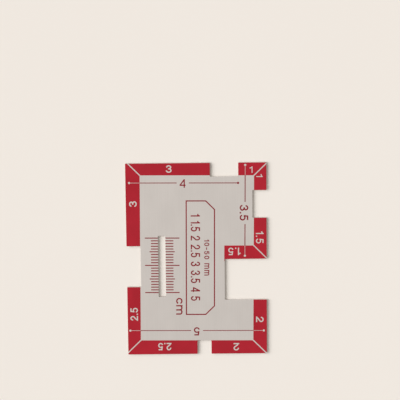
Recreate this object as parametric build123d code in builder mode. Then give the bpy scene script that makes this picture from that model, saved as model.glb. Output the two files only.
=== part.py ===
from build123d import *
import os

# Sewing gauge: one stamped blank of light metal, 5 by 7 cm, printed on one side.
# Every edge of the blank between two corners is a marked measure, and notches part
# the measures from each other. A narrow slot beside a millimetre scale serves as
# the template for cutting buttonholes.
#
# Sizes are in millimetres. The underside lies on z = 0 with the origin at the
# blank's middle. +X runs to the right and +Y to the edge of the 3 and 1 cm measures.

# Marked measures
measure_1 = 10.0
measure_1_5 = 15.0
measure_2 = 20.0
measure_2_5 = 25.0
measure_3 = 30.0
measure_3_5 = 35.0

# Blank: the measures and two notches add up to its whole width, which is the 5 cm
# measure, and to its length
bottom_notch_width = 5.0
left_notch_width = 15.0
notch_depth = 5.0
thickness = 1.0
corner_radius = 0.25
edge_roll = 0.1
burr_break = 0.05

# Buttonhole slot, level with the middle of the left notch
slot_width = 2.6
slot_length = 22.4
slot_from_left = 12.6
slot_corner_radius = 0.3

# Print: one layer of ink, with every light line and dot left open in it
ink_thickness = 0.03
band_width = 4.75
mitre_gap = 0.4
line_width = 0.25
dot_diameter = 0.8
ink_clearance = 0.1

# Dimension lines: how far each lies from an edge, how far its dots lie from the
# ends of its measure, and the break that holds its numeral
line_4_from_top = 7.5
line_3_5_from_right = 7.9
line_5_from_bottom = 8.4
dot_from_rim = 1.0
dot_from_notch = 0.4
numeral_3_5_from_top = 18.4
numeral_3_5_gap = 8.1
single_numeral_gap = 4.3

# Millimetre scale, as reach to each side of the slot's middle
tick_pitch = 1.0
tick_count = 21
ticks_per_middle = 5
ticks_per_long = 10
tick_width = 0.35
short_reach = 4.0
middle_reach = 4.5
long_reach = 6.15

# Title frame
frame_from_slot = 8.4
frame_from_notch = 3.55
frame_from_top = 13.8
frame_from_bottom = 14.2
frame_chamfer = 3.25
frame_line_width = 0.4

width = measure_2_5 + bottom_notch_width + measure_2
length = measure_3 + left_notch_width + measure_2_5
left, right = -width / 2, width / 2
bottom, top = -length / 2, length / 2
slot_middle = (left + slot_from_left, top - measure_3 - left_notch_width / 2)

os.makedirs("parts", exist_ok=True)


def rectangle_between(low, high, mode=Mode.ADD):
    """Draw the rectangle between its low left and its high right corner."""
    with Locations(low):
        Rectangle(high[0] - low[0], high[1] - low[1], align=(Align.MIN, Align.MIN), mode=mode)


def write_piece(piece, name):
    """Label one finished piece and write it under its own name."""
    piece.part.label = name
    export_step(piece.part, f"parts/{name}.step")


# Blank outline: each notch runs from the end of one measure to the start of the next

notches = {
    "top": ((left + measure_3, top - notch_depth), (right - measure_1, top)),
    "right": ((right - notch_depth, top - measure_3_5 + measure_1_5), (right, top - measure_1)),
    "deep": ((right - measure_1_5, bottom + measure_2), (right, top - measure_3_5)),
    "bottom": ((left + measure_2_5, bottom), (right - measure_2, bottom + notch_depth)),
    "left": ((left, bottom + measure_2_5), (left + notch_depth, top - measure_3)),
}

with BuildSketch() as blank_outline:
    Rectangle(width, length)
    for low, high in notches.values():
        rectangle_between(low, high, Mode.SUBTRACT)
    fillet(blank_outline.vertices(), corner_radius)


# Blank: the punch rolls the printed face's edges over, and tumbling breaks the burr
# on the underside

with BuildPart() as plate:
    with BuildSketch():
        add(blank_outline.sketch)
        with Locations(slot_middle):
            RectangleRounded(slot_width, slot_length, slot_corner_radius, mode=Mode.SUBTRACT)
    extrude(amount=thickness)
    fillet(plate.faces().sort_by(Axis.Z)[-1].edges(), edge_roll)
    chamfer(plate.faces().sort_by(Axis.Z)[0].edges(), burr_break)
write_piece(plate, "plate")


# Ink: every sketch is drawn flat and laid on the printed face as one thin film

with BuildSketch() as printed_face:
    add(blank_outline.sketch)
    offset(amount=-edge_roll)


def lay_ink(sketch, name):
    """Lay one field of the print on the blank and write it."""
    with BuildPart() as film:
        with BuildSketch(Plane.XY.offset(thickness)):
            add(sketch)
        extrude(amount=ink_thickness)
    write_piece(film, name)


# Dimension lines, drawn whole: dark on the bare metal and left open in the bands

def dimension_line(start, end, numeral, gap):
    """Draw a line with a dot at each end, broken by a gap round its numeral's place."""
    reach = (Vector(*end) - Vector(*start)).normalized() * (gap / 2)
    with BuildSketch() as drawing:
        with BuildLine():
            Line(start, Vector(*numeral) - reach)
            Line(Vector(*numeral) + reach, end)
        trace(line_width=line_width)
        with Locations(start, end):
            Circle(dot_diameter / 2)
    return drawing.sketch


line_4_y = top - line_4_from_top
line_3_5_x = right - line_3_5_from_right
line_5_y = bottom + line_5_from_bottom
notch_side = right - measure_1
dimension_lines = {
    "line_4": dimension_line(
        start=(left + dot_from_rim, line_4_y),
        end=(notch_side - dot_from_notch, line_4_y),
        numeral=((left + notch_side) / 2, line_4_y),
        gap=single_numeral_gap,
    ),
    "line_3_5": dimension_line(
        start=(line_3_5_x, top - dot_from_rim),
        end=(line_3_5_x, top - measure_3_5 + dot_from_rim),
        numeral=(line_3_5_x, top - numeral_3_5_from_top),
        gap=numeral_3_5_gap,
    ),
    "line_5": dimension_line(
        start=(left + dot_from_rim, line_5_y),
        end=(right - dot_from_rim, line_5_y),
        numeral=((left + right) / 2, line_5_y),
        gap=single_numeral_gap,
    ),
}


# Bands: each corner of the blank carries one measure twice, as two fields that meet
# at a mitre and end square at the notches

mitre_step = mitre_gap / 2 * 2**0.5
rightward, leftward = Vector(1, 0), Vector(-1, 0)
upward, downward = Vector(0, 1), Vector(0, -1)
corners = [
    (Vector(left, top), measure_3, (rightward, "band_3_top"), (downward, "band_3_left")),
    (Vector(right, top), measure_1, (leftward, "band_1_top"), (downward, "band_1_right")),
    (
        Vector(right, top - measure_3_5),
        measure_1_5,
        (leftward, "band_1_5_inner"),
        (upward, "band_1_5_right"),
    ),
    (Vector(right, bottom), measure_2, (leftward, "band_2_bottom"), (upward, "band_2_right")),
    (Vector(left, bottom), measure_2_5, (rightward, "band_2_5_bottom"), (upward, "band_2_5_left")),
]


def field_outline(corner, measure, along, inward):
    """Give the four points of the field that runs from a corner along one edge."""
    return [
        corner + along * mitre_step,
        corner + along * measure,
        corner + along * measure + inward * band_width,
        corner + along * (band_width + mitre_step) + inward * band_width,
    ]


fields = {}
for corner, measure, (along_x, x_name), (along_y, y_name) in corners:
    fields[x_name] = field_outline(corner, measure, along_x, along_y)
    fields[y_name] = field_outline(corner, measure, along_y, along_x)

for name, outline in fields.items():
    with BuildSketch() as band:
        Polygon(*outline, align=None)
        add(printed_face.sketch, mode=Mode.INTERSECT)
        for drawing in dimension_lines.values():
            add(drawing, mode=Mode.SUBTRACT)
    lay_ink(band.sketch, name)

with BuildSketch() as clear_of_bands:
    for outline in fields.values():
        Polygon(*outline, align=None)
    offset(amount=ink_clearance)

for name, drawing in dimension_lines.items():
    with BuildSketch() as dark_line:
        add(drawing)
        add(clear_of_bands.sketch, mode=Mode.SUBTRACT)
    lay_ink(dark_line.sketch, name)


# Millimetre scale, drawn across the slot and cut back to the flat face at its sides

with BuildSketch() as scale:
    with Locations(slot_middle):
        with GridLocations(0, tick_pitch, 1, tick_count):
            Rectangle(2 * short_reach, tick_width)
        with GridLocations(0, tick_pitch * ticks_per_middle, 1, tick_count // ticks_per_middle + 1):
            Rectangle(2 * middle_reach, tick_width)
        with GridLocations(0, tick_pitch * ticks_per_long, 1, tick_count // ticks_per_long + 1):
            Rectangle(2 * long_reach, tick_width)
        margin = 2 * (edge_roll + ink_clearance)
        Rectangle(slot_width + margin, slot_length + margin, mode=Mode.SUBTRACT)
lay_ink(scale.sketch, "buttonhole_scale")


# Title frame: a thin line between the scale and the deep notch, with its right
# corners cut off

frame_low = (slot_middle[0] + frame_from_slot, bottom + frame_from_bottom)
frame_high = (right - measure_1_5 - frame_from_notch, top - frame_from_top)
with BuildSketch() as title_line:
    rectangle_between(frame_low, frame_high)
    chamfer(title_line.vertices().group_by(Axis.X)[-1], frame_chamfer)
    offset(title_line.faces(), amount=-frame_line_width, mode=Mode.SUBTRACT)
lay_ink(title_line.sketch, "title_frame")
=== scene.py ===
"""Sewing gauge: a stamped blank of satin light metal, screen-printed with its measures.

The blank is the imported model's own solid. The print is one layer of dark red ink, built
here as thin films on the blank's face and over its rolled edge. Numerals, mitres, dots and
lines are left open in the red bands, so that the bare metal shows through them as it does
on the gauge.

Print sizes are in millimetres from the blank's middle, with x to the right of the printed
face and y towards the edge of the 3 cm and 1 cm measures. Meshes are written in metres.
"""

import logging
import math
from dataclasses import dataclass, replace
from enum import Enum
from typing import Any, Iterable, Mapping, Sequence, Union

import bpy
import numpy as np
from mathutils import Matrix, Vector
from mathutils.geometry import delaunay_2d_cdt


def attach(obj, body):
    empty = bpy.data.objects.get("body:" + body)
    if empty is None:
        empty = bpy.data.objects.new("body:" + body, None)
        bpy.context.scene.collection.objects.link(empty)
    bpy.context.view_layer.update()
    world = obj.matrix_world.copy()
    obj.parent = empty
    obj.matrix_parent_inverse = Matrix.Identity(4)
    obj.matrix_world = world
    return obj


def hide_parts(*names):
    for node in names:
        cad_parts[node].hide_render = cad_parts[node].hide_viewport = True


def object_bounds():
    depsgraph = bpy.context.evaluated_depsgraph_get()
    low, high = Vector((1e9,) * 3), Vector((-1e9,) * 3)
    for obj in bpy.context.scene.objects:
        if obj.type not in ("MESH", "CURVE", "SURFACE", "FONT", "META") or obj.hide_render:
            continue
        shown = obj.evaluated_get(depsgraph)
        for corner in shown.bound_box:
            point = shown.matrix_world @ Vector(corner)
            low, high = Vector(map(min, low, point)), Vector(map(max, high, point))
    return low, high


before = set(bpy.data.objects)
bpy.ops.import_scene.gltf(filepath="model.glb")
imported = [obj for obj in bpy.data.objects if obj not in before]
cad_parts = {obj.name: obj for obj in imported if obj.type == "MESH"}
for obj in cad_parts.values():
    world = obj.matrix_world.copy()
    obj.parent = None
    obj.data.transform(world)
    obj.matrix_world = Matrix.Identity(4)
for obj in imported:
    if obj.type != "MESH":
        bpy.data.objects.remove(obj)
cad_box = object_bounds()

log = logging.getLogger("gauge")

MILLIMETRE = 0.001

DECIMALS = 4
"""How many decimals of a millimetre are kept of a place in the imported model."""

ROUND = (0.0, 350.0, 36)
"""The start, the end and the count of points of an arc that is closed by its last side."""

TRIANGLE_SIDES = ((0, 1), (1, 2), (2, 0))
SQUARE_CORNERS = ((-1, -1), (1, -1), (1, 1), (-1, 1))

Loop = np.ndarray
"""A closed outline: an array of (x, y) rows, in millimetres."""

Shape = list[Loop]
"""Loops that belong together: a point is inside where an odd number of them surround it."""

Point = tuple[float, float]
Span = tuple[float, float]
Pair = tuple[float, float]
Triple = tuple[float, float, float]
Colour = Triple


# Shader maths


@dataclass(frozen=True)
class Signal:
    """A socket's value over a surface, which takes part in sums as a number does."""

    graph: "Graph"
    socket: bpy.types.NodeSocket

    def _math(self, operation: str, first: "Value", second: "Value") -> "Signal":
        """Add the Math node for one operation on two values."""
        return self.graph.node("ShaderNodeMath", {"operation": operation}, {0: first, 1: second})

    def __add__(self, other: "Value") -> "Signal":
        """Sum of the two."""
        return self._math("ADD", self, other)

    def __sub__(self, other: "Value") -> "Signal":
        """This less the other."""
        return self._math("SUBTRACT", self, other)

    def __rsub__(self, other: "Value") -> "Signal":
        """The other less this."""
        return self._math("SUBTRACT", other, self)

    def __mul__(self, other: "Value") -> "Signal":
        """Product of the two."""
        return self._math("MULTIPLY", self, other)

    def __abs__(self) -> "Signal":
        """Size without sign."""
        return self._math("ABSOLUTE", self, 0.0)

    __radd__ = __add__
    __rmul__ = __mul__


Value = Union[Signal, float, Sequence[float]]


@dataclass(frozen=True)
class Pattern:
    """A cloudy pattern over a piece, from 0 to 1 with a mean of one half.

    Attributes:
        stretch: Pattern units per millimetre along x, y and z.
        detail: How many finer layers lie on the first one.
        rough: How strong each finer layer is.
    """

    stretch: Triple
    detail: float = 3.0
    rough: float = 0.5

    @classmethod
    def even(cls, pitch: float, rough: float) -> "Pattern":
        """Make one that is alike in all directions, with so many millimetres to a unit."""
        return cls((1 / pitch, 1 / pitch, 1 / pitch), rough=rough)


@dataclass
class Graph:
    """The nodes of one material or of the world."""

    tree: bpy.types.NodeTree

    def node(
        self,
        kind: str,
        settings: Mapping[str, Any] | None = None,
        inputs: Mapping[int | str, Value] | None = None,
        output: int | str = 0,
    ) -> Signal:
        """Add one node, set it up and join what feeds it.

        Args:
            kind: The node's type, such as "ShaderNodeMath".
            settings: The node's own settings, which are made first.
            inputs: A value or a signal for each socket, by its number or name.
            output: The socket that the signal is taken from, by its number or name.

        Returns:
            The signal of that output.
        """
        made = self.tree.nodes.new(kind)
        for name, setting in (settings or {}).items():
            setattr(made, name, setting)
        self.feed(made, inputs or {})
        return Signal(self, made.outputs[output])

    def feed(self, node: bpy.types.Node, values: Mapping[int | str, Value]) -> None:
        """Set or join a node's sockets.

        Args:
            node: The node.
            values: A value or a signal for each socket, by its number or name.
        """
        for name, value in values.items():
            if isinstance(value, Signal):
                self.tree.links.new(value.socket, node.inputs[name])
            else:
                node.inputs[name].default_value = value

    def millimetres(self, stretch: Sequence[float] = (1.0, 1.0, 1.0)) -> Signal:
        """Give the place on the object in millimetres, stretched along each axis.

        Args:
            stretch: How many pattern units one millimetre takes up along x, y and z.

        Returns:
            The signal of that place, a vector.
        """
        place = self.node("ShaderNodeTexCoord", output="Object")
        scale = tuple(s / MILLIMETRE for s in stretch)
        return self.node("ShaderNodeVectorMath", {"operation": "MULTIPLY"}, {0: place, 1: scale})

    def part(self, vector: Signal, axis: str) -> Signal:
        """Take a vector's part along "X", "Y" or "Z"."""
        return self.node("ShaderNodeSeparateXYZ", inputs={0: vector}, output=axis)

    def noise(self, pattern: Pattern) -> Signal:
        """Lay a cloudy pattern over the piece.

        Args:
            pattern: The pattern.

        Returns:
            Its signal.
        """
        inputs = {
            "Vector": self.millimetres(pattern.stretch),
            "Scale": 1.0,
            "Detail": pattern.detail,
            "Roughness": pattern.rough,
        }
        return self.node("ShaderNodeTexNoise", inputs=inputs, output="Fac")

    def step(self, signal: Signal, low: float, high: float) -> Signal:
        """Rise smoothly from 0 to 1 while the signal goes from low to high."""
        inputs = {"Value": signal, "From Min": low, "From Max": high}
        return self.node("ShaderNodeMapRange", {"interpolation_type": "SMOOTHSTEP"}, inputs)

    def blend(self, factor: Value, first: Value, second: Value) -> Signal:
        """Mix two colours, from the first at 0 to the second at 1."""
        settings = {"data_type": "RGBA", "clamp_factor": True}
        return self.node("ShaderNodeMix", settings, {0: factor, 6: first, 7: second}, output=2)

    def bump(self, height: Signal, depth: float) -> Signal:
        """Tilt the surface as a relief would.

        Args:
            height: The relief, from 0 to 1.
            depth: How deep it is, in millimetres.

        Returns:
            The tilted normal's signal.
        """
        inputs = {"Strength": 1.0, "Distance": depth * MILLIMETRE, "Height": height}
        return self.node("ShaderNodeBump", inputs=inputs)


def swing(pattern: Signal, reach: float) -> Signal:
    """Swing about zero with a pattern, whose mean is one half: reach * (pattern - 1/2)."""
    return reach * (pattern - 0.5)


def new_material(name: str) -> tuple[bpy.types.Material, Graph, bpy.types.Node]:
    """Start a material.

    Args:
        name: Its name.

    Returns:
        The material, its graph, and its shader node.
    """
    material = bpy.data.materials.new(name)
    material.use_nodes = True
    shader = next(n for n in material.node_tree.nodes if n.type == "BSDF_PRINCIPLED")
    return material, Graph(material.node_tree), shader


# Finishes


@dataclass(frozen=True)
class SatinMetal:
    """Rolled light-metal sheet, tumbled to a fine matt satin, with punched edges.

    The flat faces have a fine grain, faint lines along the rolling direction and soft
    clouds. The punch leaves three zones on an edge: rolled over and smooth at the top,
    burnished below it, and torn and dull down to the underside.

    Attributes:
        tone: The faces' colour.
        deep_tone: Their colour where the clouds and the rolling lines are deepest.
        torn_tone: The colour of torn metal.
        roughness: How rough the faces are.
        burnished: How rough burnished metal is.
        torn: How rough torn metal is.
        smoothing: How much smoother the rolled edge is.
        grain: The fine grain.
        rolling: The rolling lines.
        clouds: The soft clouds.
        raggedness: What makes the torn zone's upper limit ragged.
        streaks: The punch's marks on an edge.
        cloud_share: The clouds' share of the faces' shade. The rolling lines have the rest.
        shade: The shades that give the deep tone and the full one.
        unevenness: How far the clouds, the rolling lines and the grain move the roughness.
        streak_roughness: How far the punch's marks move it.
        torn_shade: How much of the torn colour a torn edge has, and how much the marks add.
        grain_depth: How deep a grain is.
        rolling_relief: How deep the rolling lines are, in grains.
        streak_relief: How deep the marks are on burnished metal, and how much tearing adds.
        wall: How steep the normal is, from a true wall to no wall.
        roll: The same from the wall to the rolled edge.
        flat: The same from the rolled edge to the flat face.
        tear: The heights between which the torn zone ends.
        ragged_reach: How far the raggedness moves them.
    """

    tone: Colour = (0.785, 0.762, 0.748)
    deep_tone: Colour = (0.735, 0.712, 0.698)
    torn_tone: Colour = (0.56, 0.54, 0.525)
    roughness: float = 0.38
    burnished: float = 0.30
    torn: float = 0.60
    smoothing: float = 0.10
    grain: Pattern = Pattern.even(0.14, rough=0.6)
    rolling: Pattern = Pattern((3.2, 0.05, 3.2), rough=0.55)
    clouds: Pattern = Pattern((0.11, 0.09, 0.11))
    raggedness: Pattern = Pattern((2.4, 2.4, 0.4), rough=0.65)
    streaks: Pattern = Pattern((11.0, 11.0, 0.7), rough=0.6)
    cloud_share: float = 0.6
    shade: Span = (0.3, 0.7)
    unevenness: Triple = (0.10, 0.14, 0.10)
    streak_roughness: float = 0.12
    torn_shade: Pair = (0.55, 0.6)
    grain_depth: float = 0.0035
    rolling_relief: float = 0.25
    streak_relief: Pair = (0.35, 1.6)
    wall: Span = (0.05, 0.25)
    roll: Span = (0.1, 0.35)
    flat: Span = (0.93, 0.995)
    tear: Span = (0.70, 0.80)
    ragged_reach: float = 0.35

    def make(self) -> bpy.types.Material:
        """Build the material.

        Returns:
            The finished material.
        """
        material, graph, shader = new_material("satin_light_metal")
        grain, rolling, clouds = map(graph.noise, (self.grain, self.rolling, self.clouds))
        raggedness, streaks = map(graph.noise, (self.raggedness, self.streaks))

        facing = abs(graph.part(graph.node("ShaderNodeNewGeometry", output="Normal"), "Z"))
        side = 1.0 - graph.step(facing, *self.wall)
        face = 1.0 - side
        rolled = graph.step(facing, *self.roll) * (1.0 - graph.step(facing, *self.flat))
        height = graph.part(graph.millimetres(), "Z") + self.ragged_reach * raggedness
        torn = side * (1.0 - graph.step(height, *self.tear))

        shade = self.cloud_share * clouds + (1 - self.cloud_share) * rolling
        lightness = graph.step(shade, *self.shade)
        face_colour = graph.blend(lightness, (*self.deep_tone, 1), (*self.tone, 1))
        plain, marked = self.torn_shade
        colour = graph.blend(torn * (plain + marked * streaks), face_colour, (*self.torn_tone, 1))

        by_clouds, by_rolling, by_grain = map(swing, (clouds, rolling, grain), self.unevenness)
        face_rough = self.roughness + (by_clouds + by_rolling + by_grain)
        edge_rough = (
            self.burnished + self.streak_roughness * streaks + (self.torn - self.burnished) * torn)
        roughness = face_rough * face + edge_rough * side - self.smoothing * rolled

        on_burnished, by_tearing = self.streak_relief
        face_relief = (grain + self.rolling_relief * rolling) * face
        relief = face_relief + streaks * side * (on_burnished + by_tearing * torn)

        graph.feed(shader, {
            "Base Color": colour,
            "Metallic": 1.0,
            "Roughness": roughness,
            "Normal": graph.bump(relief, self.grain_depth),
        })
        return material


@dataclass(frozen=True)
class ScreenInk:
    """Dark red screen-printing enamel: one coat, dried to a low gloss.

    The coat is a little uneven over several millimetres, where the squeegee pressed more or
    less, and it keeps a very shallow print of the screen's threads.

    Attributes:
        name: The material's name.
        tone: The ink's colour.
        deep_tone: Its colour where the coat is thickest.
        roughness: How rough it is.
        gloss: How strongly it mirrors.
        coat: The coat's unevenness over several millimetres.
        specks: Its fine specks.
        peel: Its faint waves.
        coat_share: The coat's share of the ink's weight. The specks have the rest.
        shade: The weights that give the deep tone and the full one.
        unevenness: How far the coat and the specks move the roughness.
        thread_pitch: From one thread of the screen to the next.
        thread_turn: How the threads lie, in degrees.
        thread_depth: How deep they print.
        peel_relief: How deep the waves are, in threads.
    """

    name: str = "dark_red_screen_ink"
    tone: Colour = (0.41, 0.0135, 0.0265)
    deep_tone: Colour = (0.35, 0.0115, 0.022)
    roughness: float = 0.42
    gloss: float = 0.22
    coat: Pattern = Pattern((0.16, 0.10, 1.0))
    specks: Pattern = Pattern((2.6, 2.6, 1.0), rough=0.6)
    peel: Pattern = Pattern((1.1, 1.1, 1.0), detail=2.0)
    coat_share: float = 0.75
    shade: Span = (0.32, 0.68)
    unevenness: Pair = (0.12, 0.14)
    thread_pitch: float = 0.12
    thread_turn: float = 22.5
    thread_depth: float = 0.0012
    peel_relief: float = 0.8

    def make(self) -> bpy.types.Material:
        """Build the material.

        Returns:
            The finished material.
        """
        material, graph, shader = new_material(self.name)
        coat, specks, peel = map(graph.noise, (self.coat, self.specks, self.peel))
        weight = self.coat_share * coat + (1 - self.coat_share) * specks
        fullness = graph.step(weight, *self.shade)
        colour = graph.blend(fullness, (*self.deep_tone, 1), (*self.tone, 1))
        by_coat, by_specks = map(swing, (coat, specks), self.unevenness)
        roughness = self.roughness + by_specks + by_coat
        relief = self._threads(graph) + self.peel_relief * peel
        graph.feed(shader, {
            "Base Color": colour,
            "Roughness": roughness,
            "Specular IOR Level": self.gloss,
            "Normal": graph.bump(relief, self.thread_depth),
        })
        return material

    def _threads(self, graph: Graph) -> Signal:
        """Give the dimples of the screen: the product of two sine waves across each other.

        Args:
            graph: The material's graph.

        Returns:
            The signal of their height.
        """
        turned = graph.node(
            "ShaderNodeVectorRotate",
            {"rotation_type": "Z_AXIS"},
            {"Vector": graph.millimetres(), "Angle": math.radians(self.thread_turn)},
        )
        waves = []
        for axis in ("X", "Y"):
            phase = graph.part(turned, axis) * (2 * math.pi / self.thread_pitch)
            waves.append(graph.node("ShaderNodeMath", {"operation": "SINE"}, {0: phase}))
        return 0.5 + 0.5 * (waves[0] * waves[1])


FINE_INK = ScreenInk(
    name="dark_red_fine_ink",
    tone=(0.24, 0.012, 0.020),
    deep_tone=(0.20, 0.010, 0.017),
)
"""The ink in fine strokes, which take a thicker coat than broad fields and dry deeper."""


@dataclass(frozen=True)
class PaleFloor:
    """Plain pale floor with no pattern of its own, apart from a paper's slight unevenness.

    Attributes:
        tone: Its colour.
        deep_tone: Its colour where the unevenness is deepest.
        clouds: The unevenness.
        roughness: How rough it is.
        gloss: How strongly it mirrors.
    """

    tone: Colour = (0.845, 0.787, 0.73)
    deep_tone: Colour = (0.835, 0.777, 0.72)
    clouds: Pattern = Pattern((0.02, 0.02, 0.02), detail=2.0)
    roughness: float = 0.85
    gloss: float = 0.2

    def make(self) -> bpy.types.Material:
        """Build the material.

        Returns:
            The finished material.
        """
        material, graph, shader = new_material("pale_floor")
        clouds = graph.noise(self.clouds)
        graph.feed(shader, {
            "Base Color": graph.blend(clouds, (*self.deep_tone, 1), (*self.tone, 1)),
            "Roughness": self.roughness,
            "Specular IOR Level": self.gloss,
        })
        return material


# Flat drawing


class Ends(Enum):
    """How a pen stroke ends."""

    BUTT = "cut off where the path ends"
    SQUARE = "half a pen's width past the path's end"
    CLOSED = "joined to its own start"


class Way(Enum):
    """A direction on the printed face, as a unit vector."""

    RIGHT = (1.0, 0.0)
    LEFT = (-1.0, 0.0)
    UP = (0.0, 1.0)
    DOWN = (0.0, -1.0)

    @property
    def opposite(self) -> "Way":
        """The other way."""
        x, y = self.value
        return Way((-x, -y))

    def step(self, distance: float) -> np.ndarray:
        """Give the move of so many millimetres this way."""
        return distance * np.array(self.value)


def arc(centre: Point, radii: Point, start: float, end: float, count: int = 17) -> np.ndarray:
    """Draw part of an ellipse: centre + radii * (cos t, sin t) for t from start to end.

    Args:
        centre: The ellipse's middle.
        radii: Its half width and half height.
        start: The angle it starts at, in degrees.
        end: The angle it ends at, in degrees.
        count: How many points it has.

    Returns:
        The points, one (x, y) row each.
    """
    turn = np.radians(np.linspace(start, end, count))
    return np.asarray(centre) + np.column_stack((np.cos(turn), np.sin(turn))) * radii


def path(*parts: Union[np.ndarray, Point]) -> np.ndarray:
    """Join points and runs of points into one path."""
    return np.vstack([np.atleast_2d(part) for part in parts])


def rectangles(middles: Sequence, sizes: Sequence) -> list[Shape]:
    """Draw rectangles: each middle plus or minus half its width and half its height."""
    corners = np.array(SQUARE_CORNERS) * (np.atleast_2d(sizes)[:, None, :] / 2)
    return [[loop] for loop in np.atleast_2d(middles)[:, None, :] + corners]


@dataclass(frozen=True)
class Stroke:
    """One stroke of a sign, along a path in a box from (0, 0) to (1, 1)."""

    path: np.ndarray
    ends: Ends = Ends.BUTT


@dataclass(frozen=True)
class Pen:
    """A pen that draws a path as a ribbon of even width."""

    width: float

    def draw(self, points: np.ndarray, ends: Ends = Ends.BUTT) -> Shape:
        """Draw a ribbon along a path, with mitred bends.

        At each point the outline is the path plus and minus half the width times the mitre
        vector, which is the sum of the normals before and after, divided by that sum's
        component along one of them.

        Args:
            points: The path, one (x, y) row for each point.
            ends: How the ribbon ends.

        Returns:
            One loop, or two for a closed ribbon.
        """
        half = self.width / 2
        if ends is Ends.CLOSED:
            step = np.roll(points, -1, axis=0) - points
        else:
            if ends is Ends.SQUARE:
                points = self._lengthened(points, half)
            step = np.diff(points, axis=0)
        step = step / np.linalg.norm(step, axis=1, keepdims=True)
        normal = np.column_stack((-step[:, 1], step[:, 0]))
        if ends is Ends.CLOSED:
            before, after = np.roll(normal, 1, axis=0), normal
        else:
            before, after = np.vstack((normal[:1], normal)), np.vstack((normal, normal[-1:]))
        mitre = before + after
        mitre = mitre / np.sum(mitre * before, axis=1, keepdims=True)
        left, right = points + half * mitre, points - half * mitre
        return [left, right] if ends is Ends.CLOSED else [np.vstack((left, right[::-1]))]

    @staticmethod
    def _lengthened(points: np.ndarray, reach: float) -> np.ndarray:
        """Move a path's two ends outwards along its first and last steps.

        Args:
            points: The path.
            reach: How far each end moves.

        Returns:
            The longer path.
        """
        first, last = points[0] - points[1], points[-1] - points[-2]
        start = points[0] + first * reach / np.linalg.norm(first)
        end = points[-1] + last * reach / np.linalg.norm(last)
        return np.vstack((start, points[1:-1], end))


SKELETONS: dict[str, tuple[Stroke, ...]] = {
    " ": (),
    "-": (Stroke(path((0.0, 0.45), (1.0, 0.45)), Ends.SQUARE),),
    "0": (Stroke(arc((0.5, 0.5), (0.5, 0.5), *ROUND), Ends.CLOSED),),
    "1": (
        Stroke(path((1.0, 0.0), (1.0, 1.0)), Ends.SQUARE),
        Stroke(path((-0.19, 0.79), (0.36, 0.81), (0.75, 0.88), (1.0, 1.0))),
    ),
    "2": (
        Stroke(path(
            arc((0.53, 0.71), (0.47, 0.3), 187, -32), (0.62, 0.40), (0.27, 0.22), (0.07, 0.0),
        )),
        Stroke(path((0.0, 0.0), (1.0, 0.0)), Ends.SQUARE),
    ),
    "3": (
        Stroke(path(arc((0.5, 0.77), (0.44, 0.235), 192, -90), (0.38, 0.535))),
        Stroke(path((0.38, 0.53), arc((0.505, 0.265), (0.495, 0.265), 90, -184))),
    ),
    "4": (
        Stroke(path((0.79, 0.99), (0.01, 0.3)), Ends.SQUARE),
        Stroke(path((0.01, 0.26), (0.99, 0.26)), Ends.SQUARE),
        Stroke(path((0.85, 0.0), (0.85, 1.0)), Ends.SQUARE),
    ),
    "5": (
        Stroke(path((1.02, 1.0), (0.17, 1.0), (0.06, 0.47))),
        Stroke(arc((0.48, 0.315), (0.51, 0.315), 142, -167)),
    ),
    "c": (Stroke(arc((0.53, 0.5), (0.53, 0.5), 28, 332)),),
    "m": (
        Stroke(path((0.0, 0.0), (0.0, 1.0)), Ends.SQUARE),
        Stroke(path(arc((0.25, 0.67), (0.25, 0.33), 168, 0), (0.5, 0.0)), Ends.SQUARE),
        Stroke(path(arc((0.75, 0.67), (0.25, 0.33), 168, 0), (1.0, 0.0)), Ends.SQUARE),
    ),
}
"""The strokes of each numeral and of each letter of a unit, in a box one by one."""

WIDTH_SHARES = {"1": 0.58, "-": 0.65, "m": 1.55, " ": 0.45}
"""How wide these signs are, as shares of the width that all others have."""


@dataclass(frozen=True)
class Lettering:
    """The sizes of numerals.

    Attributes:
        height: From foot to top, over the pen.
        pen: The pen's width.
        width: The width of a figure.
        gap: The space from one sign to the next.
        point: The side of a decimal point, in widths of the pen.
    """

    height: float = 2.75
    pen: float = 0.45
    width: float = 2.07
    gap: float = 0.4
    point: float = 1.1

    def extent(self, sign: str) -> float:
        """Give the width that a sign takes up."""
        return self.pen * self.point if sign == "." else self.width * WIDTH_SHARES.get(sign, 1.0)


@dataclass(frozen=True)
class Numerals:
    """One line of numerals: plain upright figures drawn with a flat pen.

    Attributes:
        text: What it reads.
        middle: Where its middle lies.
        tops: Which way the tops of the figures face.
        lettering: Its sizes.
    """

    text: str
    middle: Sequence[float]
    tops: Way
    lettering: Lettering

    def shapes(self) -> list[Shape]:
        """Draw the line: each sign in its box, side by side, then turned and moved as one.

        The turn takes (x, y) to x times the way on the right of the tops, plus y times the
        way of the tops.

        Returns:
            One shape for each stroke.
        """
        size = self.lettering
        total = sum(map(size.extent, self.text)) + size.gap * (len(self.text) - 1)
        x, foot = -total / 2, -size.height / 2
        drawn: list[Shape] = []
        for sign in self.text:
            extent = size.extent(sign)
            if sign == ".":
                drawn += rectangles((x + extent / 2, foot + extent / 2), (extent, extent))
            else:
                drawn += self._strokes(sign, (x, foot), extent)
            x += extent + size.gap
        up_x, up_y = self.tops.value
        turn = ((up_y, -up_x), (up_x, up_y))
        return [[loop @ turn + self.middle for loop in shape] for shape in drawn]

    def _strokes(self, sign: str, corner: Point, extent: float) -> list[Shape]:
        """Draw one sign's strokes, with their paths half a pen's width inside its box.

        Args:
            sign: The sign.
            corner: The lower left corner of its box.
            extent: The box's width.

        Returns:
            One shape for each stroke.
        """
        size = self.lettering
        room = (extent - size.pen, size.height - size.pen)
        start = np.add(corner, size.pen / 2)
        pen = Pen(size.pen)
        return [pen.draw(start + s.path * room, s.ends) for s in SKELETONS[sign]]


# The blank and the press


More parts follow.
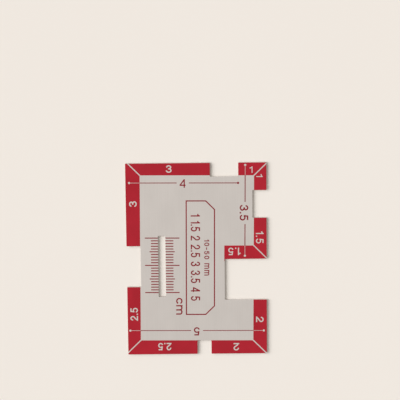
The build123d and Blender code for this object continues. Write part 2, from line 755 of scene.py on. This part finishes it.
def odd_inside(points: np.ndarray, edges: np.ndarray) -> np.ndarray:
    """Say which points lie inside an outline.

    A point is inside where a ray to its right crosses an odd number of the outline's edges.

    Args:
        points: The points, one (x, y) row each.
        edges: The outline's edges, an array of (start, end) pairs of points.

    Returns:
        True for each point inside.
    """
    start, end = edges[:, 0], edges[:, 1]
    x, y = points[:, :1], points[:, 1:]
    straddles = (start[:, 1] > y) != (end[:, 1] > y)
    rise = end[:, 1] - start[:, 1]
    slope = (end[:, 0] - start[:, 0]) / np.where(rise == 0, 1.0, rise)
    crossing = start[:, 0] + (y - start[:, 1]) * slope
    return np.count_nonzero(straddles & (x < crossing), axis=1) % 2 == 1


def shape_edges(shape: Shape) -> np.ndarray:
    """List a shape's edges, from each point of a loop to the next."""
    return np.concatenate([np.stack((loop, np.roll(loop, -1, axis=0)), axis=1) for loop in shape])


def cross(first: np.ndarray, second: np.ndarray) -> np.ndarray:
    """Give x1 y2 - y1 x2 of each pair of vectors, which is twice their triangle's area."""
    return first[..., 0] * second[..., 1] - first[..., 1] * second[..., 0]


def inside_any(points: np.ndarray, shapes: Iterable[Shape]) -> np.ndarray:
    """Say which points lie inside at least one of the shapes."""
    found = [odd_inside(points, shape_edges(shape)) for shape in shapes]
    return np.any(found, axis=0) if found else np.zeros(len(points), dtype=bool)


@dataclass(frozen=True)
class PrintedFace:
    """What takes ink: the flat face and the upper part of the edge that the punch rolled over.

    Attributes:
        level: The flat face's height.
        border: How far ink can reach, as an array of (start, end) pairs of points.
        folds: The sides of the rolled facets, as such pairs.
        facets: The rolled facets, three (x, y, z) corners each.
        slack: How far outside a facet a point still counts as on it, as a share of the facet.
    """

    level: float
    border: np.ndarray
    folds: np.ndarray
    facets: np.ndarray
    slack: float = 1e-4

    def heights(self, points: np.ndarray) -> np.ndarray:
        """Give the height of the metal under each point.

        On a rolled facet it is the mean of the corners' heights, each weighted by the area of
        the triangle that the point makes with the other two, and elsewhere the flat face's.

        Args:
            points: The points, one (x, y) row each.

        Returns:
            The heights.
        """
        spokes = self.facets[None, :, :, :2] - points[:, None, None, :]
        areas = cross(np.roll(spokes, -1, axis=2), np.roll(spokes, -2, axis=2))
        shares = areas / areas.sum(axis=2, keepdims=True)
        on_facet = (shares > -self.slack).all(axis=2)
        rolled = (shares * self.facets[None, :, :, 2]).sum(axis=2)
        facet = on_facet.argmax(axis=1)
        found = rolled[np.arange(len(points)), facet]
        return np.where(on_facet.any(axis=1), found, self.level)


@dataclass
class Blank:
    """The stamped metal blank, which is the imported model's own solid.

    Attributes:
        node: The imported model's object.
        ink_drop: How far below the flat face the ink still follows the rolled edge.
        flatness: How far below the top a corner still counts as on the flat face.
        finish: Its metal.
    """

    node: bpy.types.Object
    ink_drop: float = 0.05
    flatness: float = 0.001
    finish: SatinMetal = SatinMetal()

    def dress(self) -> None:
        """Give the solid its metal."""
        self.node.data.materials.clear()
        self.node.data.materials.append(self.finish.make())
        log.info("%s: dressed in satin light metal", self.node.name)

    def printed_face(self) -> PrintedFace:
        """Find the face that takes the print.

        Its triangles are those whose corners all lie within the ink's drop of the top. Their
        corners are merged by place, and the edges that only one triangle has are its border.

        Returns:
            The face.
        """
        mesh = self.node.data
        mesh.calc_loop_triangles()
        places = np.empty(len(mesh.vertices) * 3)
        mesh.vertices.foreach_get("co", places)
        corners = np.empty(len(mesh.loop_triangles) * 3, dtype=np.int32)
        mesh.loop_triangles.foreach_get("vertices", corners)
        places = np.round(places.reshape(-1, 3) / MILLIMETRE, DECIMALS)
        triangles = corners.reshape(-1, 3)
        top = places[:, 2].max()
        triangles = triangles[(places[triangles, 2] > top - self.ink_drop).all(axis=1)]
        points, merged = np.unique(places, axis=0, return_inverse=True)
        triangles = merged.reshape(-1)[triangles]
        rolled = triangles[(points[triangles, 2] < top - self.flatness).any(axis=1)]
        edges, uses = self._edges(triangles)
        folds = self._edges(rolled)[0]
        flat = points[:, :2]
        return PrintedFace(float(top), flat[edges[uses == 1]], flat[folds], points[rolled])

    @staticmethod
    def _edges(triangles: np.ndarray) -> tuple[np.ndarray, np.ndarray]:
        """List the edges of triangles once each, with how many of the triangles have them."""
        sides = np.sort(triangles[:, TRIANGLE_SIDES].reshape(-1, 2), axis=1)
        return np.unique(sides, axis=0, return_counts=True)


@dataclass(frozen=True)
class Register:
    """How the print lies on the blank: fed in a little crooked, as one sheet of artwork.

    Attributes:
        turn: Clockwise turn about the blank's middle, in radians.
        shift: Move to the right and up.
    """

    turn: float = 0.0087
    shift: Point = (0.1, 0.3)

    def lay(self, shape: Shape) -> Shape:
        """Turn and move a shape: (x cos t + y sin t, y cos t - x sin t) plus the shift."""
        cos, sin = math.cos(self.turn), math.sin(self.turn)
        return [loop @ ((cos, -sin), (sin, cos)) + self.shift for loop in shape]


@dataclass
class Press:
    """Prints drawings on the blank as films of ink.

    The sheet is printed before the blank is punched from it. So the artwork runs over the
    blank's edges, and a film follows the rolled edge as far down as the ink holds.

    Attributes:
        blank: The blank that is printed.
        register: How the print lies on it.
        finish: The ink of broad fields.
        fine_finish: The ink of fine strokes.
        ink_depth: How thick a film is.
        tolerance: How near two points are when they count as one.
    """

    blank: Blank
    register: Register = Register()
    finish: ScreenInk = ScreenInk()
    fine_finish: ScreenInk = FINE_INK
    ink_depth: float = 0.03
    tolerance: float = 1e-5

    def __post_init__(self) -> None:
        """Look up the face and mix both inks once for all films."""
        self.face = self.blank.printed_face()
        self.ink, self.fine_ink = self.finish.make(), self.fine_finish.make()

    def film(
        self,
        name: str,
        inked: Sequence[Shape],
        bare: Sequence[Shape] = (),
        node: str | None = None,
        fine: bool = False,
    ) -> None:
        """Print one film.

        All outlines and the face's border are edges of one triangulation, so no triangle
        crosses an outline, and its middle says whether it is inked.

        Args:
            name: The film's name.
            inked: The drawing's shapes, which may overlap.
            bare: Shapes that stay open in it.
            node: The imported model's node that the film stands for, if there is one.
            fine: Whether it is made of fine strokes.
        """
        inked = [self.register.lay(shape) for shape in inked]
        bare = [self.register.lay(shape) for shape in bare]
        drawn = map(shape_edges, (*inked, *bare))
        points = np.concatenate([self.face.border, self.face.folds, *drawn]).reshape(-1, 2)
        pairs = np.arange(len(points)).reshape(-1, 2)
        found = delaunay_2d_cdt([Vector(p) for p in points], pairs.tolist(), [], 0, self.tolerance)
        places = np.array([tuple(p) for p in found[0]])
        triangles = np.array(found[2])
        middles = places[triangles].mean(axis=1)
        on_face = odd_inside(middles, self.face.border)
        keep = on_face & inside_any(middles, inked) & ~inside_any(middles, bare)
        mesh = self._raised(name, places, triangles[keep])
        mesh.materials.append(self.fine_ink if fine else self.ink)
        piece = bpy.data.objects.new(name, mesh)
        bpy.context.scene.collection.objects.link(piece)
        if node:
            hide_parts(node)
        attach(piece, "root")
        log.info("%s: %d faces of ink", name, len(mesh.polygons))

    def _raised(self, name: str, places: np.ndarray, triangles: np.ndarray) -> bpy.types.Mesh:
        """Raise flat triangles into a closed film.

        The top and the bottom are copies of the triangles, the bottom turned over, and an
        edge that one triangle alone has carries a wall between them.

        Args:
            name: The mesh's name.
            places: The flat corners.
            triangles: Three corners each.

        Returns:
            The film's mesh.
        """
        a, b, c = (places[triangles[:, i]] for i in range(3))
        turned = cross(b - a, c - a) < 0
        triangles[turned] = triangles[turned][:, ::-1]
        used, triangles = np.unique(triangles, return_inverse=True)
        triangles = triangles.reshape(-1, 3)
        flat = places[used]
        count = len(flat)
        low = np.column_stack((flat, self.face.heights(flat)))
        high = low + (0.0, 0.0, self.ink_depth)
        sides = triangles[:, TRIANGLE_SIDES].reshape(-1, 2)
        keys = sides[:, 0] * count + sides[:, 1]
        rim = sides[~np.isin(keys, sides[:, 1] * count + sides[:, 0])]
        walls = np.column_stack((rim, rim[:, ::-1] + count))
        faces = [*(triangles + count).tolist(), *triangles[:, ::-1].tolist(), *walls.tolist()]
        mesh = bpy.data.meshes.new(name)
        mesh.from_pydata((np.vstack((low, high)) * MILLIMETRE).tolist(), [], faces)
        mesh.validate()
        return mesh


# The drawing on the blank


@dataclass(frozen=True)
class Outline:
    """The blank's outline that the artwork is drawn to.

    Attributes:
        left: Where the blank's left edge lies.
        right: Where its right edge lies.
        bottom: Where its bottom edge lies.
        top: Where its top edge lies.
        measure_1: The 1 cm measure.
        measure_1_5: The 1.5 cm measure.
        measure_2: The 2 cm measure.
        measure_2_5: The 2.5 cm measure.
        measure_3: The 3 cm measure.
        measure_3_5: The 3.5 cm measure.
        left_notch: The width of the notch in the left edge.
    """

    left: float
    right: float
    bottom: float
    top: float
    measure_1: float = 10.0
    measure_1_5: float = 15.0
    measure_2: float = 20.0
    measure_2_5: float = 25.0
    measure_3: float = 30.0
    measure_3_5: float = 35.0
    left_notch: float = 15.0

    @classmethod
    def in_box(cls, box: Sequence[Vector]) -> "Outline":
        """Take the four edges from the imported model's box.

        Args:
            box: Its lowest and its highest corner, in metres.

        Returns:
            The outline.
        """
        corners = np.round(np.array([tuple(corner) for corner in box]) / MILLIMETRE, DECIMALS)
        (left, bottom, _), (right, top, _) = corners.tolist()
        return cls(left, right, bottom, top)


@dataclass(frozen=True)
class Field:
    """One red field of a corner, along one edge of the blank.

    Attributes:
        name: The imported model's node that it is.
        corner: The corner of the blank that it starts from.
        along: Which way it runs from there.
        inward: Which way the blank lies from its edge.
        measure: How long it is.
        text: The measure's numerals, in centimetres.
        place: How far from the corner their middle lies, along the field and inward.
        lettering: Their sizes.
        past_end: How far the ink runs on past the measure's end.
    """

    name: str
    corner: Point
    along: Way
    inward: Way
    measure: float
    text: str
    place: Point
    lettering: Lettering = Lettering()
    past_end: float = 1.0

    def spot(self, along: float, inward: float) -> np.ndarray:
        """Give the point that lies so far from the corner, along the field and inward."""
        return self.corner + self.along.step(along) + self.inward.step(inward)

    def numerals(self) -> Numerals:
        """Set the measure's numerals, with their tops towards the edge."""
        return Numerals(self.text, self.spot(*self.place), self.inward.opposite, self.lettering)


@dataclass
class Bands:
    """The red bands: each corner carries one measure twice, as two fields with a mitre.

    Attributes:
        outline: The blank's outline.
        width: How broad a field is.
        mitre_gap: How broad the bare line between two fields is.
        bleed: How far the artwork runs over the blank's edge.
        free_end: How far a field runs on where no notch cuts it off.
    """

    outline: Outline
    width: float = 4.75
    mitre_gap: float = 0.4
    bleed: float = 1.0
    free_end: float = 0.25

    def fields(self) -> list[Field]:
        """List the ten fields with their numerals.

        Returns:
            The fields.
        """
        o = self.outline
        right, left, up, down = Way.RIGHT, Way.LEFT, Way.UP, Way.DOWN
        left_top, right_top = (o.left, o.top), (o.right, o.top)
        left_bottom, right_bottom = (o.left, o.bottom), (o.right, o.bottom)
        inner = (o.right, o.top - o.measure_3_5)
        small = Lettering(height=2.32, pen=0.34, width=1.86)
        wide = Lettering(pen=0.42, width=1.85, gap=0.57)
        narrow = Lettering(width=1.8, gap=0.37)
        return [
            Field("band_3_top", left_top, right, down, o.measure_3, "3", (15.04, 2.46)),
            Field("band_3_left", left_top, down, right, o.measure_3, "3", (15.11, 2.29)),
            Field("band_1_top", right_top, left, down, o.measure_1, "1", (5.84, 2.7), small),
            Field("band_1_right", right_top, down, left, o.measure_1, "1", (4.85, 2.84), small),
            Field("band_1_5_right", inner, up, left, o.measure_1_5, "1.5", (7.73, 2.63), wide),
            Field("band_1_5_inner", inner, left, up, o.measure_1_5, "1.5", (11.58, 2.6), wide,
                  self.free_end),
            Field("band_2_right", right_bottom, up, left, o.measure_2, "2", (12.54, 2.46)),
            Field("band_2_bottom", right_bottom, left, up, o.measure_2, "2", (10.86, 2.34)),
            Field("band_2_5_bottom", left_bottom, right, up, o.measure_2_5, "2.5", (13.37, 2.43),
                  narrow),
            Field("band_2_5_left", left_bottom, up, right, o.measure_2_5, "2.5", (14.47, 2.43),
                  narrow),
        ]

    def area(self, part: Field) -> Shape:
        """Draw a field: square at its far end, cut along the mitre, and over the edge.

        Args:
            part: The field.

        Returns:
            Its outline.
        """
        step = self.mitre_gap / 2 * math.sqrt(2)
        end = part.measure + part.past_end
        return [np.array((
            part.spot(step - self.bleed, -self.bleed),
            part.spot(end, -self.bleed),
            part.spot(end, self.width),
            part.spot(self.width + step, self.width),
        ))]

    def print_on(self, press: Press, lines: Sequence[Shape]) -> None:
        """Print all fields, with their numerals and the dimension lines left open.

        Args:
            press: The press.
            lines: The shapes of the dimension lines.
        """
        for part in self.fields():
            bare = [*part.numerals().shapes(), *lines]
            press.film(f"printed_{part.name}", [self.area(part)], bare, part.name)


@dataclass(frozen=True)
class DimensionLine:
    """A thin line with a dot at each end, broken round its numeral.

    Attributes:
        name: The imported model's node that it is.
        start: Where one dot lies.
        end: Where the other dot lies.
        middle: Where the break's middle lies.
        gap: The break's length.
        inked_pen: How broad its runs are where they are inked.
        text: The measure's numerals, in centimetres.
        off: How far to the right and up their middle lies off the break's.
        tops: Which way their tops face.
        lettering: Their sizes.
    """

    name: str
    start: Point
    end: Point
    middle: Point
    gap: float
    inked_pen: float
    text: str
    off: Point
    tops: Way
    lettering: Lettering

    def numerals(self) -> Numerals:
        """Set the measure's numerals in the break."""
        return Numerals(self.text, np.add(self.middle, self.off), self.tops, self.lettering)


@dataclass
class DimensionLines:
    """The lines of the 4, 3.5 and 5 cm measures: dark on metal, bare in the bands.

    The ink creeps outwards a little as it is pressed through the screen, so a line comes out
    broader where it is inked and finer where it is left open.

    Attributes:
        outline: The blank's outline.
        open_pen: How broad a line is where it is left open.
        dot: The diameter of the dots.
        single_gap: The break round one figure.
        double_gap: The break round a figure with a decimal.
        line_4_from_top: From the top edge to the 4 cm measure's line.
        line_3_5_from_right: From the right edge to the 3.5 cm measure's line.
        line_5_from_bottom: From the bottom edge to the 5 cm measure's line.
        dot_from_rim: From the blank's rim to a dot.
        dot_from_notch: From the line of a notch to a dot.
        numeral_from_top: From the top edge to the break of the 3.5.
    """

    outline: Outline
    open_pen: float = 0.15
    dot: float = 0.8
    single_gap: float = 4.3
    double_gap: float = 8.1
    line_4_from_top: float = 7.5
    line_3_5_from_right: float = 7.9
    line_5_from_bottom: float = 8.4
    dot_from_rim: float = 1.0
    dot_from_notch: float = 0.4
    numeral_from_top: float = 18.4

    def lines(self) -> list[DimensionLine]:
        """List the three lines with their numerals.

        Returns:
            The lines.
        """
        o, rim = self.outline, self.dot_from_rim
        y4 = o.top - self.line_4_from_top
        x3_5 = o.right - self.line_3_5_from_right
        y5 = o.bottom + self.line_5_from_bottom
        notch_side = o.right - o.measure_1
        dark = Lettering(height=3.05, width=2.12, gap=0.47)
        return [
            DimensionLine(
                name="line_4",
                start=(o.left + rim, y4),
                end=(notch_side - self.dot_from_notch, y4),
                middle=((o.left + notch_side) / 2, y4),
                gap=self.single_gap,
                inked_pen=0.28,
                text="4",
                off=(-0.06, -0.19),
                tops=Way.UP,
                lettering=replace(dark, pen=0.42),
            ),
            DimensionLine(
                name="line_3_5",
                start=(x3_5, o.top - rim),
                end=(x3_5, o.top - o.measure_3_5 + rim),
                middle=(x3_5, o.top - self.numeral_from_top),
                gap=self.double_gap,
                inked_pen=0.32,
                text="3.5",
                off=(-0.38, 0.09),
                tops=Way.RIGHT,
                lettering=replace(dark, pen=0.48),
            ),
            DimensionLine(
                name="line_5",
                start=(o.left + rim, y5),
                end=(o.right - rim, y5),
                middle=((o.left + o.right) / 2, y5),
                gap=self.single_gap,
                inked_pen=0.25,
                text="5",
                off=(-0.11, -0.3),
                tops=Way.DOWN,
                lettering=replace(dark, pen=0.45),
            ),
        ]

    def strokes(self, line: DimensionLine, width: float) -> list[Shape]:
        """Draw a line's two runs and two dots.

        Args:
            line: The line.
            width: How broad its runs are.

        Returns:
            Its shapes, without the numerals.
        """
        start, end, middle = map(np.array, (line.start, line.end, line.middle))
        reach = (end - start) / np.linalg.norm(end - start) * line.gap / 2
        pen = Pen(width)
        radii = (self.dot / 2, self.dot / 2)
        return [
            pen.draw(path(start, middle - reach)),
            pen.draw(path(middle + reach, end)),
            [arc(line.start, radii, *ROUND)],
            [arc(line.end, radii, *ROUND)],
        ]

    def open_strokes(self) -> list[Shape]:
        """Draw all three lines as the bands leave them open."""
        return [shape for line in self.lines() for shape in self.strokes(line, self.open_pen)]

    def print_on(self, press: Press, bands: Sequence[Shape]) -> None:
        """Print the lines in dark ink where they lie on bare metal.

        Args:
            press: The press.
            bands: The outlines of the bands.
        """
        for line in self.lines():
            shapes = [*self.strokes(line, line.inked_pen), *line.numerals().shapes()]
            press.film(f"printed_{line.name}", shapes, bands, line.name, fine=True)


@dataclass
class ButtonholeScale:
    """The millimetre scale across the buttonhole slot, with its unit beside it.

    Attributes:
        outline: The blank's outline.
        slot_from_left: From the left edge to the slot's middle.
        pitch: From one tick to the next.
        count: How many ticks there are.
        tick: How broad a tick is.
        short_reach: How far most ticks reach to each side of the slot's middle.
        middle_reach: How far those at every half centimetre reach.
        long_reach: How far those at every centimetre reach.
        per_middle: How many ticks make half a centimetre.
        per_long: How many ticks make a centimetre.
        unit: How far to the right and up the unit's middle lies from the slot's.
        lettering: The unit's sizes.
    """

    outline: Outline
    slot_from_left: float = 12.6
    pitch: float = 1.0
    count: int = 21
    tick: float = 0.35
    short_reach: float = 4.0
    middle_reach: float = 4.5
    long_reach: float = 6.15
    per_middle: int = 5
    per_long: int = 10
    unit: Point = (6.05, -15.08)
    lettering: Lettering = Lettering(height=2.28, pen=0.46, width=2.28)

    def slot_middle(self) -> Point:
        """Give the slot's middle, which is level with the middle of the left notch."""
        o = self.outline
        return o.left + self.slot_from_left, o.top - o.measure_3 - o.left_notch / 2

    def ticks(self) -> list[Shape]:
        """Draw the ticks: tick n lies at the slot's middle plus (n - (count - 1) / 2) pitches.

        Returns:
            One rectangle for each tick.
        """
        numbers = np.arange(self.count)
        x, y = self.slot_middle()
        heights = y + (numbers - (self.count - 1) / 2) * self.pitch
        reach = np.where(numbers % self.per_middle == 0, self.middle_reach, self.short_reach)
        reach = np.where(numbers % self.per_long == 0, self.long_reach, reach)
        middles = np.column_stack((np.full(self.count, x), heights))
        return rectangles(middles, np.column_stack((2 * reach, np.full(self.count, self.tick))))

    def print_on(self, press: Press) -> None:
        """Print the ticks and the unit.

        Args:
            press: The press.
        """
        press.film("printed_buttonhole_scale", self.ticks(), node="buttonhole_scale", fine=True)
        middle = np.add(self.slot_middle(), self.unit)
        unit = Numerals("cm", middle, Way.RIGHT, self.lettering)
        press.film("printed_unit", unit.shapes(), fine=True)


@dataclass
class TitleFrame:
    """The thin frame in the middle of the blank, with two rows of figures in it.

    The first row lists the gauge's measures, and the second gives their range.

    Attributes:
        outline: The blank's outline.
        left_from_edge: From the blank's left edge to the frame.
        right_from_edge: From its right edge to the frame.
        top_from_edge: From its top edge to the frame.
        bottom_from_edge: From its bottom edge to the frame.
        chamfer: How much of its sides a cut corner takes off.
        pen: How broad its line is.
        first_row: From its left side to the middle of the first row.
        second_row: From its left side to the middle of the second row.
        row_rise: How far the rows' middles lie above its own.
        first_lettering: The first row's sizes.
        second_lettering: The second row's sizes.
    """

    outline: Outline
    left_from_edge: float = 21.0
    right_from_edge: float = 18.55
    top_from_edge: float = 13.8
    bottom_from_edge: float = 14.2
    chamfer: float = 3.25
    pen: float = 0.40
    first_row: float = 3.45
    second_row: float = 7.5
    row_rise: float = 0.2
    first_lettering: Lettering = Lettering(height=3.3, pen=0.43, width=1.75, gap=0.36)
    second_lettering: Lettering = Lettering(height=1.8, pen=0.32, width=1.3, gap=0.45)

    def corners(self) -> tuple[Point, Point]:
        """Give the frame's lower left and upper right corner."""
        o = self.outline
        low = (o.left + self.left_from_edge, o.bottom + self.bottom_from_edge)
        return low, (o.right - self.right_from_edge, o.top - self.top_from_edge)

    def rim(self) -> Shape:
        """Draw the frame: a rectangle with its right corners cut off, as a closed ribbon.

        Returns:
            Its two loops.
        """
        inset = self.pen / 2
        (left, bottom), (right, top) = self.corners()
        left, bottom, right, top = left + inset, bottom + inset, right - inset, top - inset
        cut = self.chamfer - inset * (2 - math.sqrt(2))
        middle_line = path(
            (left, bottom), (right - cut, bottom), (right, bottom + cut),
            (right, top - cut), (right - cut, top), (left, top),
        )
        return Pen(self.pen).draw(middle_line, Ends.CLOSED)

    def row(self, text: str, from_left: float, lettering: Lettering) -> list[Shape]:
        """Draw one row of figures, with its tops to the right.

        Args:
            text: What it reads.
            from_left: From the frame's left side to its middle.
            lettering: Its sizes.

        Returns:
            One shape for each stroke.
        """
        (left, bottom), (_, top) = self.corners()
        middle = (left + from_left, (bottom + top) / 2 + self.row_rise)
        return Numerals(text, middle, Way.RIGHT, lettering).shapes()

    def print_on(self, press: Press) -> None:
        """Print the frame and its two rows of figures.

        Args:
            press: The press.
        """
        press.film("printed_title_frame", [self.rim()], node="title_frame", fine=True)
        measures = self.row("1 1.5 2 2.5 3 3.5 4 5", self.first_row, self.first_lettering)
        press.film("printed_title_measures", measures, fine=True)
        span = self.row("10-50 mm", self.second_row, self.second_lettering)
        press.film("printed_title_range", span, fine=True)


# Camera and studio


@dataclass(frozen=True)
class PhotoCamera:
    """The photograph's camera: ten gauge lengths off, with a long lens.

    Attributes:
        place: Where it stands.
        turn: How far it is turned about x, y and z, in degrees.
        lens: Its focal length.
        sensor: The width of its sensor.
        clip: The nearest and the farthest that it sees, in metres.
    """

    place: Triple = (2.08, 165.38, 695.81)
    turn: Triple = (-11.6896, -0.0620, -0.5723)
    lens: float = 180.0
    sensor: float = 36.0
    clip: Span = (0.01, 10.0)

    def set_up(self) -> None:
        """Put the camera in the scene and look through it."""
        data = bpy.data.cameras.new("photo_camera")
        data.lens, data.sensor_width = self.lens, self.sensor
        data.clip_start, data.clip_end = self.clip
        camera = bpy.data.objects.new(data.name, data)
        camera.location = Vector(self.place) * MILLIMETRE
        camera.rotation_euler = [math.radians(angle) for angle in self.turn]
        bpy.context.scene.collection.objects.link(camera)
        bpy.context.scene.camera = camera


@dataclass(frozen=True)
class Studio:
    """A wide soft lamp to the left, gentle light from all round, and a pale floor.

    The lamp is far off, so that it lights the blank and the whole floor evenly. Gloss does
    not show it: what the metal mirrors is the surroundings alone, as in a light tent.

    Attributes:
        lamp_side: The direction that the lamp lights from.
        lamp_angle: How wide it looks from the blank, in degrees.
        lamp_strength: Its light on a surface that faces it, in watts per square metre.
        lamp_tint: Its colour.
        ambient: How strong the light from all round is.
        ambient_tint: Its colour.
        bright_side: The direction that more of it comes from.
        side_shares: How strong it is on the far side and on the bright side, as shares.
        side_cosines: The cosines between which it rises from the one to the other.
        backdrop: The colour that the surroundings show to the camera and in gloss.
        floor_side: The side of the floor's square.
        floor_finish: The floor's material.
    """

    lamp_side: Triple = (-0.71, 0.2, 0.675)
    lamp_angle: float = 46.0
    lamp_strength: float = 2.75
    lamp_tint: Colour = (0.97, 0.985, 1.0)
    ambient: float = 0.465
    ambient_tint: Colour = (1.0, 0.975, 0.93)
    bright_side: Triple = (-0.78, 0.58, 0.22)
    side_shares: Span = (0.65, 1.25)
    side_cosines: Span = (-0.9, 0.9)
    backdrop: Colour = (0.79, 0.745, 0.70)
    floor_side: float = 8000.0
    floor_finish: PaleFloor = PaleFloor()

    def set_up(self) -> None:
        """Hang the lamp, light the world and lay the floor."""
        self._lamp()
        self._world()
        self._floor()
        bpy.context.scene.view_settings.view_transform = "Standard"

    def _lamp(self) -> None:
        """Hang the lamp and aim it at the blank."""
        data = bpy.data.lights.new("soft_lamp", "SUN")
        data.angle = math.radians(self.lamp_angle)
        data.energy, data.color = self.lamp_strength, self.lamp_tint
        lamp = bpy.data.objects.new(data.name, data)
        lamp.rotation_euler = (-Vector(self.lamp_side)).to_track_quat("-Z", "Y").to_euler()
        lamp.visible_glossy = False
        bpy.context.scene.collection.objects.link(lamp)

    def _world(self) -> None:
        """Light the world from all round, and show the backdrop to camera, gloss and glass.

        All light but the camera's is stronger from the bright side: its share rises with the
        cosine of the angle between the ray and that side, from one share to the other.
        """
        world = bpy.data.worlds.new("studio")
        world.use_nodes = True
        world.node_tree.nodes.clear()
        graph = Graph(world.node_tree)
        camera, glossy, transmission = (
            graph.node("ShaderNodeLightPath", output=f"Is {kind} Ray")
            for kind in ("Camera", "Glossy", "Transmission")
        )
        even = tuple(self.ambient * part for part in self.ambient_tint)
        colour = graph.blend(camera + glossy + transmission, (*even, 1), (*self.backdrop, 1))
        inputs = {0: graph.node("ShaderNodeTexCoord", output="Generated"), 1: self.bright_side}
        cosine = graph.node(
            "ShaderNodeVectorMath", {"operation": "DOT_PRODUCT"}, inputs, output="Value")
        far, bright = self.side_shares
        share = far + (bright - far) * graph.step(cosine, *self.side_cosines)
        strength = camera + (1.0 - camera) * share
        light = graph.node("ShaderNodeBackground", inputs={"Color": colour, "Strength": strength})
        output = world.node_tree.nodes.new("ShaderNodeOutputWorld")
        world.node_tree.links.new(light.socket, output.inputs["Surface"])
        bpy.context.scene.world = world

    def _floor(self) -> None:
        """Lay the floor under the blank: one square at z = 0."""
        corners = np.pad(np.array(SQUARE_CORNERS), ((0, 0), (0, 1))) * self.floor_side / 2
        mesh = bpy.data.meshes.new("floor")
        mesh.from_pydata((corners * MILLIMETRE).tolist(), [], [(0, 1, 2, 3)])
        mesh.materials.append(self.floor_finish.make())
        floor = bpy.data.objects.new(mesh.name, mesh)
        bpy.context.scene.collection.objects.link(floor)


def main() -> None:
    """Dress the blank, print it, and set up the studio."""
    logging.basicConfig(level=logging.INFO, format="%(name)s: %(message)s")
    outline = Outline.in_box(cad_box)
    blank = Blank(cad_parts["plate"])
    blank.dress()
    press = Press(blank)
    bands, lines = Bands(outline), DimensionLines(outline)
    bands.print_on(press, lines.open_strokes())
    lines.print_on(press, [bands.area(part) for part in bands.fields()])
    ButtonholeScale(outline).print_on(press)
    TitleFrame(outline).print_on(press)
    PhotoCamera().set_up()
    Studio().set_up()


if __name__ == "__main__":
    main()
